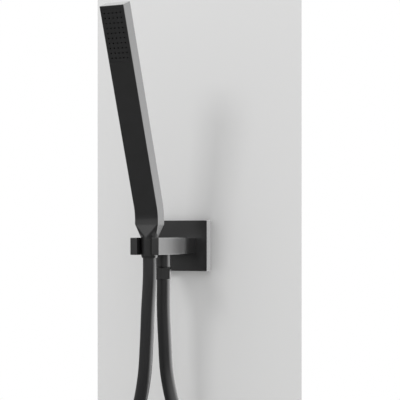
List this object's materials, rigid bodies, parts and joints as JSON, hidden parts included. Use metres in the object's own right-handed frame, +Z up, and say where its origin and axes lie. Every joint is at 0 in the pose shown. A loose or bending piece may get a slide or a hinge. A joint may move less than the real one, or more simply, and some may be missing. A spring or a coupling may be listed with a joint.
{
  "type": "hand shower set",
  "caption": "Bent bar handset standing in the fork of a square wall bracket, with a smooth hose that hangs in a loop from the handset to the outlet under the arm.",
  "frame": {"origin": "centre of the wall plate's back face, on the axis of the water inlet, in the plane of the wall", "axes": "+Y into the wall along the inlet's axis, +Z up, +X to the right as seen from the room"},
  "size_m": [0.26, 0.1897, 0.7583],
  "materials": {
    "black_coat": "satin black coat on metal",
    "hose": "smooth satin black PVC",
    "liner": "matte black",
    "silicone": "soft matte black silicone",
    "rubber": "matte black",
    "foam": "closed-cell foam",
    "brass": "turned",
    "steel": "plain",
    "white_plastic": "moulded, natural white"
  },
  "bodies": {
    "bracket": {"wall_plate": "black_coat", "wall_gasket": "foam", "wall_connector": "brass", "connector_seals": "rubber", "lock_screw": "steel", "bracket_arm": "black_coat", "holder_liner": "liner", "outlet_spigot": "black_coat", "check_valve_body": "white_plastic", "check_valve_seal": "rubber", "valve_spring": "steel", "outlet_washer": "rubber", "hose_nut": "black_coat", "hose_tail_outlet": "brass", "shower_hose": "hose", "hose_tail_handset": "brass", "crimp_sleeve": "steel", "cone_nut": "black_coat", "filter_washer": "rubber", "flow_regulator": "white_plastic", "handset_inlet": "brass", "handset_body": "black_coat", "water_tube": "white_plastic", "tube_seals": "rubber", "spray_chamber": "white_plastic", "nozzle_mat": "silicone", "spray_plate": "black_coat"},
    "valve": {"valve_disc": "white_plastic", "valve_disc_seal": "rubber"}
  },
  "joints": [
    {"name": "valve_open", "type": "slide", "parent": "bracket", "child": "valve", "axis": [0, 0, -1], "range_m": [0, 0.0022], "stiffness_N_per_m": 100, "springref_m": -0.001, "deforming": ["valve_spring"]}
  ]
}
